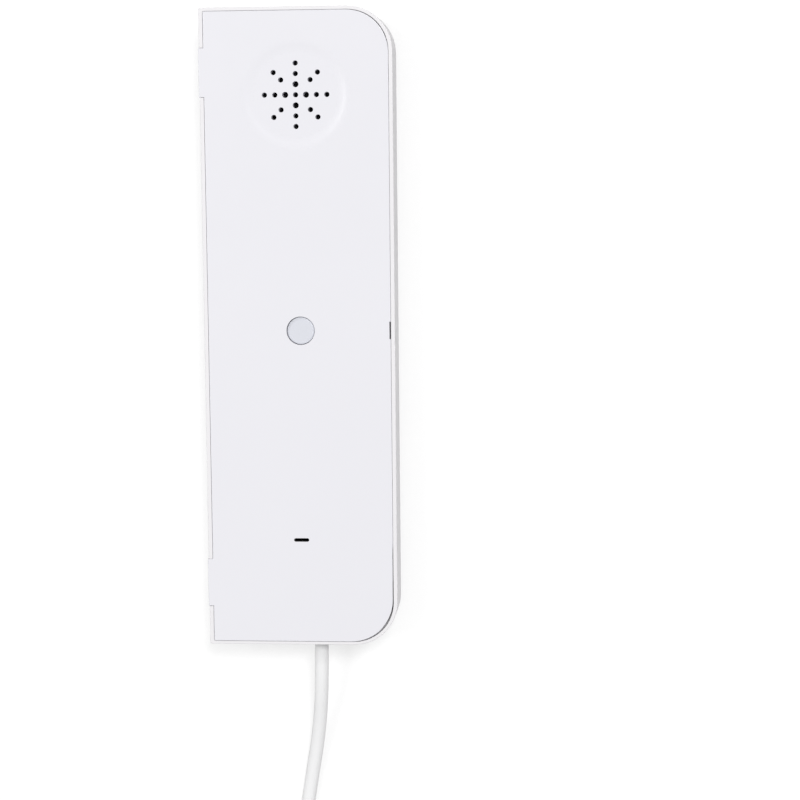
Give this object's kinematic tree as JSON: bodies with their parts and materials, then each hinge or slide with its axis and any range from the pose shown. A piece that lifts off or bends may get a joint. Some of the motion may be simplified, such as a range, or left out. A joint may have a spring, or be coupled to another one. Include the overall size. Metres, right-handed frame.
{
  "type": "video intercom handset",
  "caption": "Flat white intercom handset lying on its back: earpiece holes, a round push button, a microphone slot, and a cord with a modular plug.",
  "frame": {"origin": "middle of the handset's footprint, at the back on which it lies; the cord and its plug are not counted", "axes": "+X towards the side with the two rounded corners, +Y towards the ear end, +Z out of the face with the sound holes"},
  "size_m": [0.0761, 0.3268, 0.02],
  "materials": {
    "shell_white": "fine satin moulding",
    "face_white": "smooth satin moulding",
    "button_grey": "satin",
    "cord_white": "smooth PVC sheath",
    "bush_white": "moulded",
    "acoustic_cloth": "woven",
    "foam_black": "closed-cell foam",
    "felt_black": "pressed felt",
    "film": "thin polyester film",
    "steel": "zinc plated",
    "magnet": "sintered",
    "capsule_metal": "drawn can",
    "boot_rubber": "moulded",
    "board_green": "solder mask",
    "header_ivory": "moulded",
    "switch_black": "moulded",
    "stem_white": "acetal",
    "spring_steel": "drawn wire",
    "lead_red": "PVC insulation",
    "lead_yellow": "PVC insulation",
    "lead_green": "PVC insulation",
    "tie_white": "woven hook-and-loop strip",
    "plug_clear": "clear polycarbonate",
    "contact_gilt": "gold flash"
  },
  "bodies": {
    "handset": {"rear_shell": "shell_white", "face_plate": "face_white", "earpiece_cloth": "acoustic_cloth", "earpiece_gasket": "foam_black", "earpiece_diaphragm": "film", "earpiece_basket": "steel", "earpiece_pot": "steel", "earpiece_magnet": "magnet", "earpiece_clamp": "steel", "clamp_screws": "steel", "microphone_boot": "boot_rubber", "microphone_felt": "felt_black", "microphone_capsule": "capsule_metal", "button_spring": "spring_steel", "switch_housing": "switch_black", "circuit_board": "board_green", "board_screws": "steel", "earpiece_header": "header_ivory", "microphone_header": "header_ivory", "cord_header": "header_ivory", "upper_holding_magnet": "magnet", "lower_holding_magnet": "magnet", "earpiece_leads": "lead_red", "microphone_leads": "lead_yellow", "cord_conductors": "lead_green", "cord_bush": "bush_white", "cord": "cord_white", "cord_coil": "cord_white", "cord_tail": "cord_white", "coil_tie": "tie_white", "plug_body": "plug_clear", "plug_contacts": "contact_gilt"},
    "button": {"push_button": "button_grey", "switch_stem": "stem_white"},
    "latch": {"plug_latch": "plug_clear"}
  },
  "joints": [
    {"name": "button_press", "type": "slide", "parent": "handset", "child": "button", "axis": [0, 0, -1], "range_m": [0, 0.0012], "stiffness_N_per_m": 300, "springref_m": -0.002, "deforming": ["button_spring"]},
    {"name": "latch_press", "type": "hinge", "parent": "handset", "child": "latch", "pos_m": [-0.0126, -0.2325, 0.00725], "axis": [-1, 0, 0], "range_deg": [0, 12], "stiffness_Nm_per_rad": 0.02, "springref_deg": -5.73}
  ]
}
